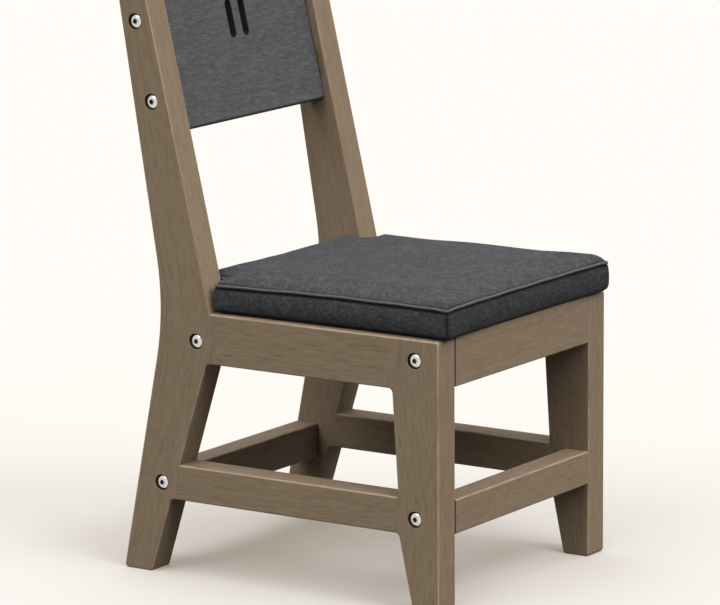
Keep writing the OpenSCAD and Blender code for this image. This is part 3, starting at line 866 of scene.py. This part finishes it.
class Shader:
    """A material's node tree, with short calls for the nodes used here."""

    def __init__(self, name):
        self.mat = bpy.data.materials.new(name)
        self.mat.use_nodes = True
        self.tree = self.mat.node_tree
        self.bsdf = self.tree.nodes["Principled BSDF"]

    def node(self, kind, **settings):
        made = self.tree.nodes.new(kind)
        for key, value in settings.items():
            setattr(made, key, value)
        return made

    def feed(self, socket, value):
        if hasattr(value, "links"):
            self.tree.links.new(value, socket)
        else:
            socket.default_value = value

    def set(self, **values):
        """Sets or links the surface's own inputs by name, with _ for a space."""
        for key, value in values.items():
            self.feed(self.bsdf.inputs[key.replace("_", " ")], value)

    def attribute(self, name, output="Vector"):
        return self.node("ShaderNodeAttribute", attribute_name=name).outputs[output]

    def place(self):
        return self.node("ShaderNodeTexCoord").outputs["Object"]

    def stretched(self, vector, scale):
        made = self.node("ShaderNodeVectorMath", operation="MULTIPLY")
        self.feed(made.inputs[0], vector)
        made.inputs[1].default_value = scale
        return made.outputs[0]

    def noise(self, vector, detail=2.0, roughness=0.5, distortion=0.0):
        made = self.node("ShaderNodeTexNoise")
        self.feed(made.inputs["Vector"], vector)
        made.inputs["Scale"].default_value = 1.0
        made.inputs["Detail"].default_value = detail
        made.inputs["Roughness"].default_value = roughness
        made.inputs["Distortion"].default_value = distortion
        return made.outputs["Fac"]

    def math(self, operation, a, b=0.0, clamp=False):
        made = self.node("ShaderNodeMath", operation=operation, use_clamp=clamp)
        self.feed(made.inputs[0], a)
        self.feed(made.inputs[1], b)
        return made.outputs[0]

    def total(self, *terms):
        """The sum of (share, value) terms."""
        result = 0.0
        for share, value in terms:
            result = self.math("ADD", self.math("MULTIPLY", value, share), result)
        return result

    def part(self, vector, axis):
        made = self.node("ShaderNodeSeparateXYZ")
        self.feed(made.inputs[0], vector)
        return made.outputs[axis]

    def band(self, value, low, high):
        """0 below low and 1 above high, or the other way round."""
        made = self.node("ShaderNodeMapRange", interpolation_type="SMOOTHSTEP")
        self.feed(made.inputs["Value"], value)
        made.inputs["From Min"].default_value = min(low, high)
        made.inputs["From Max"].default_value = max(low, high)
        made.inputs["To Min"].default_value = 0.0 if low < high else 1.0
        made.inputs["To Max"].default_value = 1.0 if low < high else 0.0
        return made.outputs["Result"]

    def ramp(self, value, stops):
        made = self.node("ShaderNodeValToRGB")
        elements = made.color_ramp.elements
        while len(elements) < len(stops):
            elements.new(0.5)
        for element, (at, colour) in zip(elements, stops):
            element.position = at
            element.color = (*colour, 1.0)
        self.feed(made.inputs["Fac"], value)
        return made.outputs["Color"]

    def mix(self, share, a, b, blend="MIX"):
        made = self.node("ShaderNodeMix", data_type="RGBA", blend_type=blend)
        self.feed(made.inputs[0], share)
        for socket, value in ((made.inputs[6], a), (made.inputs[7], b)):
            self.feed(socket, value if hasattr(value, "links") else (*value, 1.0))
        return made.outputs[2]

    def bump(self, height, depth, strength=1.0):
        made = self.node("ShaderNodeBump")
        made.inputs["Strength"].default_value = strength
        made.inputs["Distance"].default_value = depth
        self.feed(made.inputs["Height"], height)
        return made.outputs["Normal"]


def wood_material():
    """Weathered brown boards: fine fibres, soft streaks and faint wavy growth lines along the grain."""
    s = Shader("weathered_wood")
    grain = s.attribute("grain")
    fibres = s.noise(s.stretched(grain, (22.0, 620.0, 620.0)), detail=3.0, roughness=0.65)
    flecks = s.noise(s.stretched(grain, (42.0, 310.0, 310.0)), detail=2.0, roughness=0.6)
    streaks = s.noise(s.stretched(grain, (9.0, 120.0, 120.0)), detail=3.0, roughness=0.55)
    broad = s.noise(s.stretched(grain, (2.6, 13.0, 13.0)), detail=2.0)
    sway = s.noise(s.stretched(grain, (4.5, 16.0, 16.0)), detail=2.0)
    rings = s.total((115.0, s.part(grain, 1)), (38.0, s.part(grain, 2)), (9.0, sway))
    saw = s.math("PINGPONG", rings, 0.5)
    lines = s.band(saw, 0.13, 0.0)
    dashes = s.noise(s.stretched(grain, (26.0, 210.0, 210.0)), detail=2.0, roughness=0.6)
    pores = s.band(dashes, 0.62, 0.72)
    where = s.band(s.noise(s.stretched(grain, (9.0, 40.0, 40.0))), 0.42, 0.62)
    lines = s.math("MULTIPLY", lines, where)
    tone = s.total((0.25, fibres), (0.42, flecks), (0.20, streaks), (0.13, broad))
    base = s.ramp(tone, [
        (0.30, (0.158, 0.114, 0.072)),
        (0.48, (0.222, 0.163, 0.107)),
        (0.60, (0.248, 0.185, 0.124)),
        (0.74, (0.295, 0.224, 0.154)),
    ])
    dark = s.mix(s.math("MULTIPLY", lines, 0.10), base, (0.095, 0.068, 0.044))
    dark = s.mix(s.math("MULTIPLY", pores, 0.34), dark, (0.085, 0.060, 0.040))
    patches = s.noise(s.stretched(grain, (16.0, 70.0, 70.0)), detail=3.0, roughness=0.6)
    # Painted highlight along the middle of the rounded edges, in patches
    painted_highlight = s.math("MULTIPLY", s.attribute("painted_highlight", "Fac"), s.band(patches, 0.25, 0.60))
    pale = s.mix(s.math("MULTIPLY", painted_highlight, 0.62), dark, (0.40, 0.325, 0.24))
    # Painted shade: near black in the counterbores and at the cross boards' ends
    colour = s.mix(s.math("MULTIPLY", s.attribute("painted_shade", "Fac"), 0.9), pale, (0.012, 0.009, 0.006))
    height = s.total((0.5, fibres), (0.5, flecks), (-0.35, lines), (-0.4, pores))
    s.set(Base_Color=colour, Normal=s.bump(height, 0.0005, 0.55))
    s.set(Roughness=s.math("ADD", s.math("MULTIPLY", fibres, 0.16), 0.56))
    s.set(Specular_IOR_Level=0.12)
    return s.mat


def panel_material():
    """Charcoal board with a fine grain that runs across the back."""
    s = Shader("charcoal_board")
    grain = s.attribute("grain")
    fibres = s.noise(s.stretched(grain, (30.0, 560.0, 560.0)), detail=3.0, roughness=0.65)
    flecks = s.noise(s.stretched(grain, (60.0, 330.0, 330.0)), detail=2.0, roughness=0.6)
    streaks = s.noise(s.stretched(grain, (14.0, 150.0, 150.0)), detail=3.0, roughness=0.6)
    dashes = s.noise(s.stretched(grain, (55.0, 290.0, 290.0)), detail=2.0, roughness=0.55)
    pores = s.band(dashes, 0.60, 0.70)
    tone = s.total((0.28, fibres), (0.54, flecks), (0.18, streaks))
    base = s.ramp(tone, [
        (0.34, (0.038, 0.0393, 0.0425)),
        (0.50, (0.066, 0.0675, 0.071)),
        (0.66, (0.106, 0.1077, 0.111)),
    ])
    dark = s.mix(s.math("MULTIPLY", pores, 0.5), base, (0.034, 0.035, 0.037))
    # Painted highlight on the slots' rims
    pale = s.mix(s.math("MULTIPLY", s.attribute("painted_highlight", "Fac"), 0.25), dark, (0.17, 0.17, 0.17))
    # Painted shade: near black on the panel's edges and in its slots
    colour = s.mix(s.math("MULTIPLY", s.attribute("painted_shade", "Fac"), 0.92), pale, (0.004, 0.004, 0.004))
    height = s.total((0.5, fibres), (0.5, flecks), (-0.4, pores))
    s.set(Base_Color=colour, Normal=s.bump(height, 0.0005, 0.5))
    s.set(Roughness=s.math("ADD", s.math("MULTIPLY", fibres, 0.14), 0.56))
    s.set(Specular_IOR_Level=0.25)
    return s.mat


def fabric_material():
    """Charcoal outdoor cloth: a plain weave of heathered yarns, with painted shade in its seams."""
    s = Shader("charcoal_cloth")
    weave = s.attribute("weave")
    warp = s.noise(s.stretched(weave, (70.0, 900.0, 1.0)), detail=2.0, roughness=0.6)
    weft = s.noise(s.stretched(weave, (900.0, 70.0, 1.0)), detail=2.0, roughness=0.6)
    slubs = s.noise(s.stretched(weave, (110.0, 240.0, 1.0)), detail=2.0, roughness=0.6)
    broad = s.noise(s.stretched(weave, (18.0, 18.0, 1.0)), detail=2.0)
    along = s.math("SINE", s.math("MULTIPLY", s.part(weave, 0), YARNS))
    across = s.math("SINE", s.math("MULTIPLY", s.part(weave, 1), YARNS))
    threads = s.math("MULTIPLY", along, across)
    blotches = s.noise(s.stretched(weave, (160.0, 190.0, 1.0)), detail=3.0, roughness=0.7)
    mottles = s.noise(s.stretched(weave, (62.0, 70.0, 1.0)), detail=4.0, roughness=0.75)
    tone = s.total((0.12, warp), (0.10, weft), (0.20, slubs), (0.22, blotches), (0.28, mottles),
                   (0.08, broad))
    base = s.ramp(tone, [
        (0.385, (0.019, 0.0202, 0.0223)),
        (0.50, (0.0432, 0.0454, 0.0488)),
        (0.615, (0.087, 0.091, 0.096)),
    ])
    # Painted highlight: the piping value lightens the cord's cloth
    highlit_piping = s.mix(s.math("MULTIPLY", s.attribute("piping", "Fac"), 0.6), base, (0.12, 0.123, 0.127))
    # Painted shade from the seam value: creases, the line under the piping, the underside, the sides
    # and the front
    colour = s.mix(s.math("MULTIPLY", s.attribute("seam", "Fac"), 0.93), highlit_piping, (0.003, 0.0032, 0.004))
    height = s.total((0.4, threads), (0.6, warp), (0.6, weft))
    s.set(Base_Color=colour, Normal=s.bump(height, 0.0004, 0.7))
    s.set(Roughness=0.92, Specular_IOR_Level=0.08, Sheen_Weight=0.04, Sheen_Roughness=0.5)
    return s.mat


def foam_material():
    """Open-cell foam."""
    s = Shader("seat_foam")
    cells = s.noise(s.stretched(s.place(), (700.0, 700.0, 700.0)), detail=2.0)
    s.set(Base_Color=s.ramp(cells, [(0.35, (0.60, 0.52, 0.32)), (0.65, (0.76, 0.68, 0.46))]))
    s.set(Roughness=0.95, Normal=s.bump(cells, 0.0006, 0.8))
    return s.mat


def steel_material():
    """Polished stainless steel with faint turning marks."""
    s = Shader("polished_steel")
    marks = s.noise(s.stretched(s.place(), (900.0, 900.0, 900.0)), detail=2.0)
    # Painted shade: near black in the sockets and round the feet of the heads
    dark = s.math("MULTIPLY", s.attribute("painted_shade", "Fac"), 0.95)
    s.set(Base_Color=s.mix(dark, (0.66, 0.655, 0.65), (0.01, 0.01, 0.01)), Metallic=1.0)
    s.set(Roughness=s.math("ADD", s.math("MULTIPLY", marks, 0.12), 0.12))
    s.set(Normal=s.bump(marks, 0.00005, 0.4))
    return s.mat


def zinc_material():
    """Plain fasteners: a duller, slightly mottled zinc."""
    s = Shader("zinc_fasteners")
    spots = s.noise(s.stretched(s.place(), (260.0, 260.0, 260.0)), detail=3.0)
    s.set(Base_Color=s.ramp(spots, [(0.3, (0.40, 0.40, 0.40)), (0.7, (0.58, 0.58, 0.57))]))
    s.set(Metallic=1.0, Roughness=s.math("ADD", s.math("MULTIPLY", spots, 0.2), 0.28))
    return s.mat


def brass_material():
    s = Shader("brass_inserts")
    spots = s.noise(s.stretched(s.place(), (300.0, 300.0, 300.0)), detail=2.0)
    s.set(Base_Color=s.ramp(spots, [(0.3, (0.44, 0.31, 0.10)), (0.7, (0.56, 0.42, 0.16))]))
    s.set(Metallic=1.0, Roughness=s.math("ADD", s.math("MULTIPLY", spots, 0.2), 0.25))
    return s.mat


# Stage

def make_camera():
    data = bpy.data.cameras.new("camera")
    data.lens = CAMERA_LENS
    data.sensor_width = SENSOR_W
    data.clip_end = 200.0
    camera = bpy.data.objects.new("camera", data)
    bpy.context.scene.collection.objects.link(camera)
    camera.matrix_world = (
        Matrix.Translation(CAMERA_PLACE)
        @ Matrix.Rotation(math.radians(CAMERA_YAW), 4, "Z")
        @ Matrix.Rotation(math.radians(90.0 + CAMERA_PITCH), 4, "X")
        @ Matrix.Rotation(math.radians(CAMERA_ROLL), 4, "Z")
    )
    bpy.context.scene.camera = camera


def background_share(tree):
    """1 for rays from the camera, off gloss and through glass, else 0."""
    path = tree.nodes.new("ShaderNodeLightPath")
    share = path.outputs["Is Camera Ray"]
    for name in ("Is Glossy Ray", "Is Transmission Ray"):
        either = tree.nodes.new("ShaderNodeMath")
        either.operation = "MAXIMUM"
        tree.links.new(share, either.inputs[0])
        tree.links.new(path.outputs[name], either.inputs[1])
        share = either.outputs[0]
    return share


def make_world(low, high, seen):
    """White light of strength high from overhead and low at the horizon, and a plain backdrop."""
    world = bpy.data.worlds.new("studio")
    bpy.context.scene.world = world
    world.use_nodes = True
    tree = world.node_tree
    light = tree.nodes["Background"]
    light.inputs["Color"].default_value = (1.0, 1.0, 1.0, 1.0)
    place = tree.nodes.new("ShaderNodeTexCoord")
    parts = tree.nodes.new("ShaderNodeSeparateXYZ")
    rise = tree.nodes.new("ShaderNodeMapRange")
    rise.interpolation_type = "SMOOTHSTEP"
    for name, value in zip(("From Min", "From Max", "To Min", "To Max"), (*SKY_RISE, low, high)):
        rise.inputs[name].default_value = value
    tree.links.new(place.outputs["Generated"], parts.inputs[0])
    tree.links.new(parts.outputs["Z"], rise.inputs["Value"])
    tree.links.new(rise.outputs["Result"], light.inputs["Strength"])
    backdrop = tree.nodes.new("ShaderNodeBackground")
    backdrop.inputs["Color"].default_value = (*seen, 1.0)
    mix = tree.nodes.new("ShaderNodeMixShader")
    tree.links.new(background_share(tree), mix.inputs[0])
    tree.links.new(light.outputs[0], mix.inputs[1])
    tree.links.new(backdrop.outputs[0], mix.inputs[2])
    tree.links.new(mix.outputs[0], tree.nodes["World Output"].inputs["Surface"])


def make_floor(size, colour, glow, bounce):
    """A pale floor that keeps the shadows, faintly lit in them, and throws little light back up."""
    mesh = bpy.data.meshes.new("floor")
    half = size / 2
    corners = [(-half, -half, 0), (half, -half, 0), (half, half, 0), (-half, half, 0)]
    mesh.from_pydata(corners, [], [(0, 1, 2, 3)])
    floor = work_object(mesh, "floor")
    s = Shader("floor")
    seen = background_share(s.tree)
    s.set(Base_Color=s.mix(seen, bounce, colour), Emission_Strength=seen)
    s.set(Emission_Color=(*glow, 1.0), Roughness=1.0, Specular_IOR_Level=0.0)
    mesh.materials.append(s.mat)


def make_sun(name, towards, softness, strength):
    """A broad, distant white lamp that stands in the given direction."""
    data = bpy.data.lights.new(name, "SUN")
    data.angle = math.radians(softness)
    data.energy = strength
    lamp = bpy.data.objects.new(name, data)
    bpy.context.scene.collection.objects.link(lamp)
    lamp.rotation_euler = Vector(towards).to_track_quat("Z", "Y").to_euler()


# Sizes taken from the frame, or worked out from those above
SEAT_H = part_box("left_seat_rail")[1].z
COUNTERBORE_SPAN = COUNTERBORE_D * math.sqrt(2)
UP = np.array([0.0, 0.0, 1.0])
COVER_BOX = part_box("cushion_cover")
CORE_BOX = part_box("cushion_core")
CUSHION_Z = COVER_BOX[0].z
CUSHION_SIDE_H = CORE_BOX[1].z - CUSHION_Z
CUSHION_HALF_W = CORE_BOX[1].x + WADDING
TONGUE_HALF_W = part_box("right_rear_leg")[0].x - TONGUE_GAP
CUSHION_FRONT = CORE_BOX[0].y - WADDING
CUSHION_BACK = CORE_BOX[1].y + WADDING
LOBE_BACK = CUSHION_BACK - TONGUE
CUSHION_MID_Y = (CUSHION_FRONT + CUSHION_BACK) / 2
CUSHION_HALF_D = (CUSHION_BACK - CUSHION_FRONT) / 2
SEAM_LEVEL_Y = CUSHION_FRONT + LEVEL_SHARE * (LOBE_BACK - CUSHION_FRONT)
CORNER_ROWS = [CUSHION_FRONT, LOBE_BACK]
CORNER_IN = CORNER_R * (1 - math.sqrt(0.5)) - CORNER_FILL * math.sqrt(0.5)
CORNER_SEAMS = [(side * (CUSHION_HALF_W - CORNER_IN), CUSHION_FRONT + CORNER_IN) for side in (-1, 1)]

make_camera()
view = bpy.context.scene.view_settings
view.view_transform = "Standard"
make_world(low=0.28, high=1.65, seen=(0.955, 0.915, 0.865))
make_floor(size=80.0, colour=(0.43, 0.43, 0.43), glow=(0.19, 0.145, 0.095),
           bounce=(0.04, 0.038, 0.036))
make_sun("key", towards=(-0.1, -0.8, 0.85), softness=35.0, strength=1.88)
make_sun("fill", towards=(-0.9, 0.15, 0.8), softness=35.0, strength=1.0)

wood = wood_material()
solids = {name: cad_solid(name) for name in BOARDS}
trees = {name: BVHTree.FromBMesh(bm) for name, bm in solids.items()}
for bm in solids.values():
    bm.free()
for name in BOARDS:
    make_board(name, trees, wood)
make_panel(panel_material())
cloth = fabric_material()
make_cover(cloth)
make_welt(cloth)
make_core(foam_material())
steel = steel_material()
zinc = zinc_material()
make_bolts("frame_bolts", steel)
make_bolts("panel_bolts", steel)
for name, mat in (("barrel_nuts", zinc), ("pocket_screws", zinc), ("slat_screws", zinc),
                  ("cleat_screws", zinc), ("threaded_inserts", brass_material())):
    NODES[name].data.materials.clear()
    NODES[name].data.materials.append(mat)
